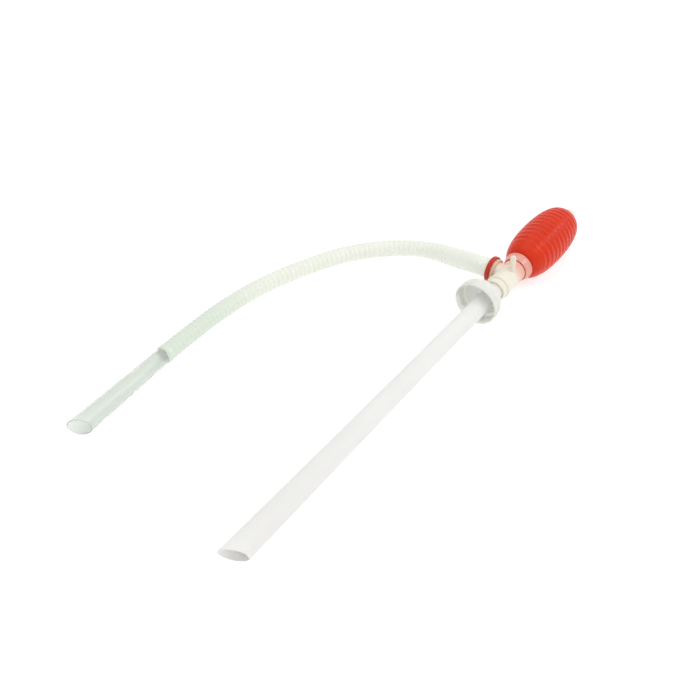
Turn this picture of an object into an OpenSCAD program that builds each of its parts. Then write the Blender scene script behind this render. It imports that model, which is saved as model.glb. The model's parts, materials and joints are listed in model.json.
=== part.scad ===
// Hand siphon pump: a ribbed squeeze bulb, a T-shaped pump head with two check valves,
// a straight suction tube that carries a loose container cap, and a corrugated discharge hose.
// The pump lies on a table, z = 0. It is drawn along its own axis, with "at" values measured
// from the tip of the suction tube towards the bulb, and then laid down by the place() module.

/* [Suction tube] */
// Outer diameter of the straight part
tube_d = 18.5; // [16:0.1:18.6]
// Wall thickness
tube_wall = 1.2; // [1:0.1:1.6]
// Outer diameter at the flared mouth
flare_d = 22.4; // [20:0.1:24]
// Length of the taper behind the mouth
flare_len = 340; // [300:5:350]
// How far the slanted cut at the mouth runs along the tube
bevel_len = 13.5; // [8:0.5:16]

/* [Container cap] */
// Outer diameter
cap_d = 46; // [44:0.5:48]
// Depth from its rim to the outside of its top
cap_depth = 17; // [14:1:20]
// Distance of its rim from the tube's tip
cap_at = 371; // [365:1:374]
// Diameter of the hole that the tube passes through
cap_hole_d = 28; // [27.6:0.1:29]
// How far the loose cap lies off the tube's axis, sideways
cap_side = 4; // [0:0.5:4]

/* [Pump head] */
// Distance of the head's socket mouth from the tube's tip
head_at = 401; // [400:1:402]
// Outer diameter of the tube socket
socket_d = 22.8; // [22.4:0.1:23.4]
// Outer diameter of the barrel
barrel_d = 24; // [23.6:0.1:24.2]
// Height of the upright peg above the pump's axis
peg_h = 28.5; // [20:0.5:30]

/* [Outlet] */
// Outer diameter of the outlet housing
housing_d = 24.4; // [24:0.1:24.6]
// Outer diameter of the hose ring
ring_d = 28; // [27:0.5:30]
// Width of the hose ring
ring_w = 5; // [4:0.5:5]

/* [Squeeze bulb] */
// Largest outer diameter
bulb_d = 51; // [49:1:53]
// Wall thickness
bulb_wall = 1.8; // [1.4:0.1:2.2]
// Number of grip ribs
bulb_ribs = 11; // [8:1:14]
// Height of a grip rib
rib_h = 0.7; // [0.2:0.1:0.9]

/* [Vent] */
// Outer diameter of the vent cap
vent_d = 12.6; // [11:0.1:13]
// Length of the vent cap
vent_len = 11; // [9:0.5:12]

/* [Hidden] */

$fn = 64;
eps = 0.01;

natural = [0.95, 0.93, 0.86];
frosted = [0.93, 0.93, 0.9];
clear_green = [0.87, 0.91, 0.86];
bulb_red = [0.85, 0.24, 0.16];
ring_red = [0.78, 0.2, 0.14];
seal_grey = [0.35, 0.35, 0.36];
liner_white = [0.92, 0.92, 0.89];

// Suction tube
tube_r = tube_d / 2;
flare_r = flare_d / 2;
tube_end = head_at + 13;
bevel_roll = 120;
bevel_block = 60;
flare_steps = 10;
flare_curve = 1.5;

// Container cap: a straight skirt, then a shoulder that narrows to the top
cap_r = cap_d / 2;
cap_wall = 1.8;
cap_inner_r = cap_r - cap_wall;
cap_top_t = 2;
cap_top_r = cap_r - 3.5;
cap_inner_top_r = cap_top_r - 0.9;
cap_shoulder_at = 9;
cap_floor_at = cap_depth - cap_top_t;
gasket_t = 1.5;
gasket_r = cap_inner_top_r - 0.3;
gasket_bore_r = tube_r + 0.75;
thread_h = 1;
thread_w = 1.6;
thread_at = [2.5, 6.5];

// Head, measured along the pump's axis
socket_r = socket_d / 2;
socket_depth = 14.5;
barrel_r = barrel_d / 2;
branch_at = head_at + 30;
flange_at = head_at + 7;
flange_w = 2.7;
flange_r = 12.9;
barrel_end = head_at + 42;
spigot_r = 10.4;
spigot_bore_r = 8.4;
spigot_end = head_at + 64;
throat_r = 7;
chamber_r = 9;
chamber_at = head_at + 17.5;
chamber_end = head_at + 39;
peg_r = 3;
peg_at = head_at + 27.5;
peg_side = -4;

// Check valves
valve_fit = 0.05;
seat_t = 2.2;
disc_t = 1.2;
disc_gap = 0.1;
cage_len = 4.8;
cage_wall = 1.3;
stop_t = 1.3;
stop_w = 2;
inlet_bore_r = 4.6;
inlet_disc_r = 6.6;
stub_r = 10;
stub_bore_r = 7.8;
stub_end = 17;
outlet_seat_at = 9.8;
outlet_bore_r = 4.2;
outlet_disc_r = 5.8;

// Outlet housing and hose ring, measured out from the pump's axis
housing_r = housing_d / 2;
housing_at = 13.2;
housing_socket_r = stub_r + 0.05;
housing_floor = 18.6;
ring_end = 21.5;
nipple_r = 6.6;
nipple_bore_r = 5.2;
nipple_end = 44;
barb_count = 3;
barb_h = 0.6;
barb_len = 5;
barb_gap = 1.5;
barbs_at = ring_end + 4;
ring_r = ring_d / 2;

// Bulb
bulb_r = bulb_d / 2;
neck_at = barrel_end + 0.2;
neck_r = 12.2;
bulb_start = head_at + 51.5;
bulb_end = head_at + 152;
bulb_mid = (bulb_start + bulb_end) / 2;
bulb_half = (bulb_end - bulb_start) / 2;
bulb_widest = head_at + 100;
bulb_taper = 0.0021;
bulb_round_near = 5;
bulb_round_far = 5;
bulb_steps = 96;
ribs_from = head_at + 62;
ribs_to = head_at + 142;

// Collar around the bulb's neck
collar_r = 13.2;
collar_end = head_at + 51;
collar_rim_r = 15.4;
collar_step = 0.4;
collar_rim_w = 2;

// Vent in the bulb's far end
vent_bore_r = 4;
vent_flange_r = 7.2;
vent_flange_t = 1.6;
vent_nozzle_r = 3.6;
vent_nozzle_len = 9;
vent_r = vent_d / 2;
vent_top = bulb_end + vent_flange_t + vent_nozzle_len;
vent_passage_r = 1.6;
vent_plug_len = 6;
vent_barb_at = bulb_end - 4.6;
vent_barb_r = vent_bore_r + 1.5;
vent_barb_t = 1.6;
washer_t = 1;
crown_t = 2.4;
vent_cap_end = vent_top + washer_t + crown_t + 0.1;

// Lying position: the tube's mouth, the cap's rim and the bulb all touch the table
tilt = asin((bulb_r - flare_r) / (bulb_widest - bevel_len / 2));
tip_height = flare_r * cos(tilt) - bevel_len / 2 * sin(tilt);
cap_rise = cap_r - (tip_height + cap_at * sin(tilt)) / cos(tilt);
origin_x = -vent_cap_end * cos(tilt) / 2;
origin_y = -(nipple_end - bulb_r) / 2;

// Discharge hose: its route on the table, its tip last
hose_exit = [
  origin_x + branch_at * cos(tilt),
  origin_y + ring_end,
  tip_height + branch_at * sin(tilt)
];
hose_route = [
  [147.5, 24, 23], [149, 37, 20.5], [152, 51, 17], [155, 65, 13.5], [156, 78, 11.5], [154.5, 90, 10.5],
  [151, 101, 10], [146, 111, 9.5], [139.5, 121, 9.2], [132, 130, 9], [115, 146, 9], [96, 159.5, 9],
  [75, 170.5, 9], [52, 180, 9], [29, 188, 9], [5, 194.5, 9], [-20, 199, 9], [-45, 201.5, 9],
  [-70, 202.5, 9], [-95, 202, 9], [-119, 201.3, 9], [-131, 200.7, 9], [-137, 200.4, 9],
  [-143, 200, 9], [-166, 198.2, 9], [-188, 196.5, 9.2], [-210, 194.8, 9.4], [-230, 193.2, 9.6],
  [-256, 191.1, 9.8]
];
hose_points = concat([hose_exit], hose_route);
hose_sides = 12;
hose_cuff_r = 10.4;
hose_tube_r = 8.8;
hose_neck_r = 7.8;
hose_mouth_r = 9.7;
cuff_points = 5;
taper_points = 10;
corrugated_points = 22;

// ---- Placement ----

module place() {
  translate([origin_x, origin_y, tip_height])
    rotate([0, 90 - tilt, 0])
      children();
}

module along(at) {
  translate([0, 0, at])
    children();
}

module on_branch() {
  along(branch_at)
    rotate([-90, 0, 0])
      children();
}

module at_cap() {
  translate([-cap_rise, cap_side, cap_at])
    children();
}

// A straight ring or tube
module sleeve(r_out, r_in, h) {
  difference() {
    cylinder(r = r_out, h = h);
    translate([0, 0, -1])
      cylinder(r = r_in, h = h + 2);
  }
}

// A round cord bent into a ring
module o_ring(r, thick) {
  rotate_extrude()
    translate([r, 0])
      circle(d = thick, $fn = 24);
}

// ---- Suction tube ----

function flare_at(u) = tube_r + (flare_r - tube_r) * pow(u, flare_curve);

module tube_outline(inset) {
  flare = [for (i = [0 : flare_steps])
    [flare_at(1 - i / flare_steps) - inset, i * flare_len / flare_steps]];
  polygon(concat([[0, 0]], flare, [[tube_r - inset, tube_end], [0, tube_end]]));
}

module suction_tube() {
  color(frosted)
    place()
      difference() {
        rotate_extrude()
          tube_outline(0);
        translate([0, 0, -eps])
          rotate_extrude()
            tube_outline(tube_wall);
        along(tube_end - 1)
          cylinder(r = tube_r - tube_wall, h = 2);
        rotate([0, 0, bevel_roll])
          translate([flare_r, 0, 0])
            rotate([0, atan(bevel_len / flare_d), 0])
              translate([-bevel_block, -bevel_block / 2, -bevel_block])
                cube([2 * bevel_block, bevel_block, bevel_block]);
      }
}

module tube_seal() {
  color(seal_grey)
    place()
      along(tube_end)
        sleeve(tube_r, tube_r - tube_wall, head_at + socket_depth - tube_end);
}

// ---- Container cap ----

module cap_outline() {
  polygon([
    [cap_inner_r, 0], [cap_r, 0], [cap_r, cap_shoulder_at], [cap_top_r, cap_depth],
    [cap_hole_d / 2, cap_depth], [cap_hole_d / 2, cap_floor_at],
    [cap_inner_top_r, cap_floor_at], [cap_inner_r, cap_shoulder_at]
  ]);
}

module container_cap() {
  color(natural)
    place()
      at_cap() {
        rotate_extrude()
          cap_outline();
        for (z = thread_at)
          along(z)
            sleeve(cap_inner_r + eps, cap_inner_r - thread_h, thread_w);
      }
}

// A soft disc: its rim fills the cap, and its hole stays around the tube
module cap_gasket() {
  color(liner_white)
    place()
      difference() {
        at_cap()
          along(cap_floor_at - gasket_t)
            cylinder(r = gasket_r, h = gasket_t);
        along(cap_at)
          cylinder(r = gasket_bore_r, h = cap_depth);
      }
}

// ---- Pump head ----

module peg() {
  along(peg_at)
    translate([-peg_h + peg_r, peg_side, 0]) {
      rotate([0, 90, 0])
        cylinder(r = peg_r, h = peg_h - peg_r - chamber_r + 2);
      sphere(r = peg_r);
    }
}

module head_bores() {
  along(head_at - 1)
    cylinder(r = tube_r + valve_fit, h = socket_depth + 1);
  along(head_at)
    cylinder(r = throat_r, h = spigot_end - head_at);
  along(chamber_at)
    cylinder(r = chamber_r, h = chamber_end - chamber_at);
  along(chamber_at)
    cylinder(r = spigot_bore_r, h = spigot_end - chamber_at + 1);
  on_branch()
    cylinder(r = stub_bore_r, h = stub_end + 1);
}

module pump_head() {
  color(natural)
    place()
      difference() {
        union() {
          along(head_at)
            cylinder(r = socket_r, h = barrel_end - head_at);
          along(flange_at)
            cylinder(r = flange_r, h = flange_w);
          along(flange_at)
            cylinder(r = barrel_r, h = barrel_end - flange_at);
          along(barrel_end - 1)
            cylinder(r = spigot_r, h = spigot_end - barrel_end + 1);
          on_branch()
            cylinder(r = stub_r, h = stub_end);
          peg();
        }
        head_bores();
      }
}

// ---- Check valves ----

module valve_cage(r_out) {
  sleeve(r_out, r_out - cage_wall, cage_len);
  intersection() {
    along(cage_len - stop_t)
      union() {
        translate([-r_out, -stop_w / 2, 0])
          cube([2 * r_out, stop_w, stop_t]);
        translate([-stop_w / 2, -r_out, 0])
          cube([stop_w, 2 * r_out, stop_t]);
      }
    cylinder(r = r_out - 0.5, h = cage_len);
  }
}

module inlet_seat() {
  color(natural)
    place()
      along(chamber_at)
        sleeve(chamber_r - valve_fit, inlet_bore_r, seat_t);
}

module inlet_disc() {
  color(seal_grey)
    place()
      along(chamber_at + seat_t + disc_gap)
        cylinder(r = inlet_disc_r, h = disc_t);
}

module inlet_cage() {
  color(natural)
    place()
      along(chamber_at + seat_t)
        valve_cage(chamber_r - valve_fit);
}

module outlet_seat() {
  color(natural)
    place()
      on_branch()
        along(outlet_seat_at)
          sleeve(stub_bore_r - valve_fit, outlet_bore_r, seat_t);
}

module outlet_disc() {
  color(seal_grey)
    place()
      on_branch()
        along(outlet_seat_at + seat_t + disc_gap)
          cylinder(r = outlet_disc_r, h = disc_t);
}

module outlet_cage() {
  color(natural)
    place()
      on_branch()
        along(outlet_seat_at + seat_t)
          valve_cage(stub_bore_r - valve_fit);
}

// ---- Outlet ----

module outlet_housing() {
  color(frosted)
    place()
      on_branch()
        difference() {
          union() {
            along(housing_at)
              cylinder(r = housing_r, h = ring_end - housing_at);
            along(ring_end - 1)
              cylinder(r = nipple_r, h = nipple_end - ring_end + 1);
            for (i = [0 : barb_count - 1])
              along(barbs_at + i * (barb_len + barb_gap))
                cylinder(r1 = nipple_r + barb_h, r2 = nipple_r, h = barb_len);
          }
          along(housing_at - 1)
            cylinder(r = housing_socket_r, h = housing_floor - housing_at + 1);
          along(housing_at)
            cylinder(r = nipple_bore_r, h = nipple_end);
        }
}

module outlet_seal() {
  color(seal_grey)
    place()
      on_branch()
        along((stub_end + housing_floor) / 2)
          o_ring((stub_r + stub_bore_r) / 2, housing_floor - stub_end);
}

module hose_ring() {
  color(ring_red)
    place()
      on_branch()
        along(ring_end - ring_w)
          sleeve(ring_r, housing_r + valve_fit, ring_w);
}

// ---- Discharge hose ----

function unit(v) = v / norm(v);

function hose_dir(i) =
  i == 0 ? [0, 1, 0] :
  i == len(hose_points) - 1 ? unit(hose_points[i] - hose_points[i - 1]) :
  unit(hose_points[i + 1] - hose_points[i - 1]);

function between(a, b, u) = a + (b - a) * min(1, max(0, u));

function hose_r(i) =
  i <= cuff_points ? hose_cuff_r :
  i <= taper_points ? between(hose_cuff_r, hose_tube_r, (i - cuff_points) / (taper_points - cuff_points)) :
  i <= corrugated_points ? hose_tube_r :
  i == corrugated_points + 1 ? hose_neck_r :
  let (nozzle_points = len(hose_points) - corrugated_points - 3)
  between(hose_neck_r, hose_mouth_r, (i - corrugated_points - 2) / nozzle_points);

function hose_loop(i) =
  let (d = hose_dir(i), side = unit(cross(d, [0, 0, 1])), up = cross(side, d))
  [for (k = [0 : hose_sides - 1])
    let (turn = (k + 0.5) * 360 / hose_sides)
    hose_points[i] + hose_r(i) * (side * cos(turn) + up * sin(turn))];

module discharge_hose() {
  rings = len(hose_points);
  loops = [for (i = [0 : rings - 1]) each hose_loop(i)];
  sides = [for (i = [0 : rings - 2], k = [0 : hose_sides - 1])
    let (m = (k + 1) % hose_sides)
    [i * hose_sides + k, i * hose_sides + m, (i + 1) * hose_sides + m, (i + 1) * hose_sides + k]];
  start = [[for (k = [hose_sides - 1 : -1 : 0]) k]];
  tip = [[for (k = [0 : hose_sides - 1]) (rings - 1) * hose_sides + k]];
  color(clear_green)
    polyhedron(points = loops, faces = concat(sides, start, tip));
}

// ---- Squeeze bulb ----

function bulb_body(at) = bulb_r - bulb_taper * pow(at - bulb_widest, 2);

function bulb_end_round(at) =
  let (power = at < bulb_mid ? bulb_round_near : bulb_round_far)
  pow(max(0, 1 - pow(abs(at - bulb_mid) / bulb_half, power)), 1 / power);

function rib_wave(at) =
  at < ribs_from || at > ribs_to ? 0 :
  -rib_h * (0.5 - 0.5 * cos(360 * bulb_ribs * (at - ribs_from) / (ribs_to - ribs_from)));

function bulb_at(i) = bulb_mid - bulb_half * cos(180 * i / bulb_steps);

module bulb_outline(inset, ribbed) {
  wall = [for (i = [1 : bulb_steps - 1])
    let (at = bulb_at(i), r = bulb_body(at) * bulb_end_round(at))
    if (r > neck_r) [r - inset + (ribbed ? rib_wave(at) : 0), at]];
  top = [[vent_flange_r, bulb_end - inset], [0, bulb_end - inset]];
  polygon(concat([[0, bulb_start + inset]], wall, top));
}

module squeeze_bulb() {
  color(bulb_red)
    place()
      difference() {
        union() {
          rotate_extrude()
            bulb_outline(0, true);
          along(neck_at)
            cylinder(r = neck_r, h = bulb_start - neck_at + 1);
        }
        intersection() {
          rotate_extrude()
            bulb_outline(bulb_wall, false);
          along(bulb_start + bulb_wall)
            cylinder(r = bulb_r, h = bulb_end - bulb_start - 2 * bulb_wall);
        }
        along(neck_at - 1)
          cylinder(r = spigot_r + valve_fit, h = bulb_start + bulb_wall - neck_at + 2);
        along(bulb_end - bulb_wall - 1)
          cylinder(r = vent_bore_r, h = bulb_wall + 2);
      }
}

module bulb_collar() {
  color(frosted)
    place()
      difference() {
        union() {
          along(neck_at)
            cylinder(r1 = collar_r, r2 = collar_rim_r - collar_step, h = collar_end - neck_at);
          along(collar_end - collar_rim_w)
            cylinder(r = collar_rim_r, h = collar_rim_w);
        }
        along(neck_at - 1)
          cylinder(r = neck_r + valve_fit, h = collar_end - neck_at + 2);
      }
}

// ---- Vent ----

module vent_seat() {
  color(natural)
    place()
      difference() {
        union() {
          along(bulb_end - vent_plug_len)
            cylinder(r = vent_bore_r - valve_fit, h = vent_plug_len + 1);
          along(vent_barb_at)
            cylinder(r = vent_barb_r, h = vent_barb_t);
          along(bulb_end + valve_fit)
            cylinder(r = vent_flange_r, h = vent_flange_t);
          along(bulb_end + vent_flange_t)
            cylinder(r = vent_nozzle_r, h = vent_nozzle_len);
        }
        along(bulb_end - vent_plug_len - 1)
          cylinder(r = vent_passage_r, h = vent_plug_len + vent_flange_t + vent_nozzle_len + 2);
      }
}

module vent_washer() {
  color(seal_grey)
    place()
      along(vent_top + valve_fit)
        cylinder(r = vent_nozzle_r, h = washer_t);
}

module vent_cap() {
  color(natural)
    place()
      along(vent_cap_end - vent_len)
        difference() {
          cylinder(r = vent_r, h = vent_len);
          along(-1)
            cylinder(r = vent_nozzle_r + valve_fit, h = vent_len - crown_t + 1);
        }
}

suction_tube();
tube_seal();
container_cap();
cap_gasket();
pump_head();
inlet_seat();
inlet_disc();
inlet_cage();
outlet_seat();
outlet_disc();
outlet_cage();
outlet_housing();
outlet_seal();
hose_ring();
discharge_hose();
bulb_collar();
squeeze_bulb();
vent_seat();
vent_washer();
vent_cap();
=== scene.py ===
"""Hand siphon pump lying on a table: a ribbed red squeeze bulb, a milky T-shaped head with
check valves, a suction tube with a loose container cap, and a corrugated discharge hose."""
import json
import math

import bmesh
import bpy
from mathutils import Matrix, Vector


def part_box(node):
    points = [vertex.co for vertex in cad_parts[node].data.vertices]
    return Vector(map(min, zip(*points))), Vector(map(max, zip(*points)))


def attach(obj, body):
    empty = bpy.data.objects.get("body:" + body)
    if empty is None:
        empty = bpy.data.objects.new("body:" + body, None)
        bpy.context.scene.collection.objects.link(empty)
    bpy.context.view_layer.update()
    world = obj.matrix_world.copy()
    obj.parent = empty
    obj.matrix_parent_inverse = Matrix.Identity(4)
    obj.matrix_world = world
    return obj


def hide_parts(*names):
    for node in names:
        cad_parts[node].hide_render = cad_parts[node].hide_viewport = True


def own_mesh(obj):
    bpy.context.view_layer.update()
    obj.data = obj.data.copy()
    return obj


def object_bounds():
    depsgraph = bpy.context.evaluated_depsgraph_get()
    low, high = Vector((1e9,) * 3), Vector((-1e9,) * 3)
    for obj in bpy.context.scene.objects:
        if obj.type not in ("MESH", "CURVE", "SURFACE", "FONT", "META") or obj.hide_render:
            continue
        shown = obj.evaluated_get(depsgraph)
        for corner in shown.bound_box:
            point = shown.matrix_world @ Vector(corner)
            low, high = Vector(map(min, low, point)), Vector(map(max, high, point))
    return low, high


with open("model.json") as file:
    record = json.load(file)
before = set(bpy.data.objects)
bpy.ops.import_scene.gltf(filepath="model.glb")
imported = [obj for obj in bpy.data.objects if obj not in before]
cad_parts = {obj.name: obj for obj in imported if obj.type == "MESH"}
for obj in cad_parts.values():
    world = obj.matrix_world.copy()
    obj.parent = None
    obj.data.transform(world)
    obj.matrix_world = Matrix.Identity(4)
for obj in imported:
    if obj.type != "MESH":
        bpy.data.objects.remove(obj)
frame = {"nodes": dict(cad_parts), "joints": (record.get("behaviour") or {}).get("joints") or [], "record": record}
cad_low, cad_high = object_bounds()

MM = 0.001
TURN = 2 * math.pi

# ---- The pump's own frames: z runs along a part, x and y across it, all in millimetres ----

JOINTS = {joint["name"]: joint for joint in frame["joints"]}
MOUNTS = {mount["name"]: mount for mount in frame["record"]["mounts"]}
AXIS = Vector(JOINTS["cap_slide"]["axis"]).normalized()
SIDE = Vector(JOINTS["outlet_lift"]["axis"]).normalized()
UP = AXIS.cross(SIDE)
BEVEL_LEN = 13.5
TIP = Vector(MOUNTS["suction_mouth"]["pos_m"]) - AXIS * BEVEL_LEN / 2 * MM


def make_frame(origin, x, y, z):
    """The matrix of a frame in millimetres, with its origin in metres."""
    turn = Matrix((x, y, z)).transposed().to_4x4()
    return Matrix.Translation(origin) @ turn @ Matrix.Scale(MM, 4)


def reach(node, start, direction):
    """How far a CAD node runs from start along direction, as (nearest, farthest) in millimetres."""
    along = [(v.co - start).dot(direction) / MM for v in frame["nodes"][node].data.vertices]
    return min(along), max(along)


def centre(node):
    """The middle of a CAD node's box, in metres."""
    low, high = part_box(node)
    return (low + high) / 2


PUMP = make_frame(TIP, SIDE, UP, AXIS)
BRANCH_ORIGIN = centre("hose_ring") - SIDE * (centre("hose_ring") - TIP).dot(SIDE)
BRANCH = make_frame(BRANCH_ORIGIN, UP, AXIS, SIDE)
CAP_ORIGIN = Vector(JOINTS["cap_turn"]["pos_m"])
CAP_START = reach("container_cap", CAP_ORIGIN, AXIS)[0]
CAP = make_frame(CAP_ORIGIN + AXIS * CAP_START * MM, SIDE, UP, AXIS)

HEAD_START, HEAD_END = reach("pump_head", TIP, AXIS)
TUBE_END = reach("suction_tube", TIP, AXIS)[1]
BULB_NECK, BULB_END = reach("squeeze_bulb", TIP, AXIS)
COLLAR_END = reach("bulb_collar", TIP, AXIS)[1]
VENT_TOP = reach("vent_seat", TIP, AXIS)[1]
VENT_CAP_START, VENT_CAP_END = reach("vent_cap", TIP, AXIS)
RING_START, RING_END = reach("hose_ring", BRANCH_ORIGIN, SIDE)

# ---- Camera ----

CAMERA_TARGET = Vector((-0.019, 0.069, 0.0))
CAMERA_DISTANCE = 0.9635
CAMERA_AZIMUTH = math.radians(-53.86)
CAMERA_ELEVATION = math.radians(40.52)
CAMERA_LENS = 51.43


def add_camera():
    """A camera at its distance from the target, looking down at it from the mouth's side."""
    back = Vector((
        math.sin(CAMERA_AZIMUTH) * math.cos(CAMERA_ELEVATION),
        -math.cos(CAMERA_AZIMUTH) * math.cos(CAMERA_ELEVATION),
        math.sin(CAMERA_ELEVATION),
    ))
    data = bpy.data.cameras.new("camera")
    data.lens = CAMERA_LENS
    camera = bpy.data.objects.new("camera", data)
    bpy.context.scene.collection.objects.link(camera)
    camera.location = CAMERA_TARGET + back * CAMERA_DISTANCE
    camera.rotation_euler = (-back).to_track_quat("-Z", "Y").to_euler()
    bpy.context.scene.camera = camera


add_camera()

# ---- Mesh making ----

CORNER_R, CORNER_STEPS = 0.4, 4
CORNER_REACH = 0.45
SHARP_CORNER = 0.01
MERGE_DISTANCE, SLIVER_DISTANCE = 1e-6, 1e-7
FLUTE_FADE = 1.0


def rounded(corners):
    """A closed outline of (r, z) corners, each rounded. A third value is the corner's own radius."""
    outline = []
    count = len(corners)
    for i, corner in enumerate(corners):
        here = Vector(corner[:2])
        before = Vector(corners[i - 1][:2]) - here
        after = Vector(corners[(i + 1) % count][:2]) - here
        size = corner[2] if len(corner) > 2 else CORNER_R
        size = min(size, CORNER_REACH * before.length, CORNER_REACH * after.length)
        if size < SHARP_CORNER:
            outline.append(here)
            continue
        start = here + before.normalized() * size
        end = here + after.normalized() * size
        for k in range(CORNER_STEPS + 1):
            t = k / CORNER_STEPS
            outline.append(start * (1 - t) ** 2 + here * 2 * t * (1 - t) + end * t ** 2)
    return outline


def new_piece(name, points, faces, place):
    """A mesh piece from points in a frame's millimetres."""
    mesh = bpy.data.meshes.new(name)
    mesh.from_pydata([place @ Vector(p) for p in points], [], faces)
    piece = bpy.data.objects.new(name, mesh)
    bpy.context.scene.collection.objects.link(piece)
    tidy_mesh(mesh)
    return piece


def tidy_mesh(mesh):
    """Merges doubled points, turns every face outwards and shades the mesh smooth."""
    work = bmesh.new()
    work.from_mesh(mesh)
    bmesh.ops.remove_doubles(work, verts=work.verts, dist=MERGE_DISTANCE)
    bmesh.ops.dissolve_degenerate(work, edges=work.edges, dist=SLIVER_DISTANCE)
    bmesh.ops.recalc_face_normals(work, faces=work.faces)
    for face in work.faces:
        face.smooth = True
    work.to_mesh(mesh)
    work.free()


def soften_normals(piece):
    """Keeps flat faces flat beside their small rounded edges."""
    modifier = piece.modifiers.new("even_normals", "WEIGHTED_NORMAL")
    modifier.keep_sharp = True


def lathe_parts(outline, steps, warp=None):
    """The points and faces of a closed outline of (r, z) turned about z."""
    points = []
    for k in range(steps):
        turn = TURN * k / steps
        for r, z in outline:
            x, y = max(r, 0) * math.cos(turn), max(r, 0) * math.sin(turn)
            points.append(warp(x, y, z) if warp else (x, y, z))
    rows = len(outline)
    faces = []
    for k in range(steps):
        beside = (k + 1) % steps
        for i in range(rows):
            above = (i + 1) % rows
            faces.append((k * rows + i, k * rows + above, beside * rows + above, beside * rows + i))
    return points, faces


def lathe(name, outline, place, steps=96, warp=None):
    """A piece turned about its frame's z from a closed outline of (r, z) points."""
    piece = new_piece(name, *lathe_parts(outline, steps, warp), place)
    soften_normals(piece)
    return piece


def fit(piece, body, slot, material, *nodes):
    """Gives a piece its material, its body and the CAD nodes that it stands for."""
    piece.data.materials.clear()
    piece.data.materials.append(material)
    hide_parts(*nodes)
    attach(piece, body)
    return piece


def fluted(count, depth, low, high, core):
    """A warp that cuts shallow flutes into what lies outside the core radius, between two heights."""
    def warp(x, y, z):
        r = math.hypot(x, y)
        if r <= core:
            return x, y, z
        edge = min(1, max(0, (z - low) / FLUTE_FADE)) * min(1, max(0, (high - z) / FLUTE_FADE))
        wave = 0.5 - 0.5 * math.cos(count * math.atan2(y, x))
        share = 1 - depth * wave * edge / r
        return x * share, y * share, z
    return warp


# ---- Shader groups ----


def new_group(name, inputs, outputs):
    """An empty shader group with its sockets, and its input and output nodes."""
    group = bpy.data.node_groups.new(name, "ShaderNodeTree")
    for label, kind, value in inputs:
        socket = group.interface.new_socket(name=label, in_out="INPUT", socket_type=kind)
        socket.default_value = value
    for label, kind in outputs:
        group.interface.new_socket(name=label, in_out="OUTPUT", socket_type=kind)
    return group, group.nodes.new("NodeGroupInput"), group.nodes.new("NodeGroupOutput")


FLOAT, COLOUR, VECTOR = "NodeSocketFloat", "NodeSocketColor", "NodeSocketVector"
# A colour Mix node's sockets by number, since its float, vector and colour sockets share names
MIX_FACTOR, MIX_FIRST, MIX_SECOND, MIX_RESULT = 0, 6, 7, 2


def add(tree, kind, values=(), **settings):
    """A node with its settings, and its sockets' values by name."""
    node = tree.nodes.new("ShaderNode" + kind)
    for key, value in settings.items():
        setattr(node, key, value)
    for key, value in dict(values).items():
        node.inputs[key].default_value = value
    return node


def make_moulding_grain():
    """Fine uneven skin of a moulded part, with a slow waviness under it."""
    group, given, out = new_group(
        "moulding_grain",
        [("Scale", FLOAT, 900.0), ("Depth", FLOAT, 0.2), ("Waviness", FLOAT, 0.1)],
        [("Normal", VECTOR)],
    )
    place = add(group, "TexCoord")
    grain = add(group, "TexNoise", {"Detail": 3.0, "Roughness": 0.55})
    wave = add(group, "TexNoise", {"Scale": 55.0, "Detail": 1.0})
    slow = add(group, "Bump", {"Distance": 0.0012})
    fine = add(group, "Bump", {"Distance": 0.0002})
    link = group.links.new
    link(place.outputs["Object"], grain.inputs["Vector"])
    link(place.outputs["Object"], wave.inputs["Vector"])
    link(given.outputs["Scale"], grain.inputs["Scale"])
    link(wave.outputs["Fac"], slow.inputs["Height"])
    link(given.outputs["Waviness"], slow.inputs["Strength"])
    link(grain.outputs["Fac"], fine.inputs["Height"])
    link(given.outputs["Depth"], fine.inputs["Strength"])
    link(slow.outputs["Normal"], fine.inputs["Normal"])
    link(fine.outputs["Normal"], out.inputs["Normal"])
    return group


def make_handling_marks():
    """Roughness that rises in faint scuffs and smears."""
    group, given, out = new_group(
        "handling_marks",
        [("Polished", FLOAT, 0.3), ("Scuffed", FLOAT, 0.5), ("Scale", FLOAT, 60.0)],
        [("Roughness", FLOAT)],
    )
    place = add(group, "TexCoord")
    stretch = add(group, "Mapping", {"Scale": (0.35, 1.0, 1.0)})
    smear = add(group, "TexNoise", {"Detail": 4.0, "Roughness": 0.6, "Distortion": 0.6})
    limits = add(group, "MapRange", {"From Min": 0.42, "From Max": 0.68})
    blend = add(group, "MapRange")
    link = group.links.new
    link(place.outputs["Object"], stretch.inputs["Vector"])
    link(stretch.outputs["Vector"], smear.inputs["Vector"])
    link(given.outputs["Scale"], smear.inputs["Scale"])
    link(smear.outputs["Fac"], limits.inputs["Value"])
    link(limits.outputs["Result"], blend.inputs["Value"])
    link(given.outputs["Polished"], blend.inputs["To Min"])
    link(given.outputs["Scuffed"], blend.inputs["To Max"])
    link(blend.outputs["Result"], out.inputs["Roughness"])
    return group


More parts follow.
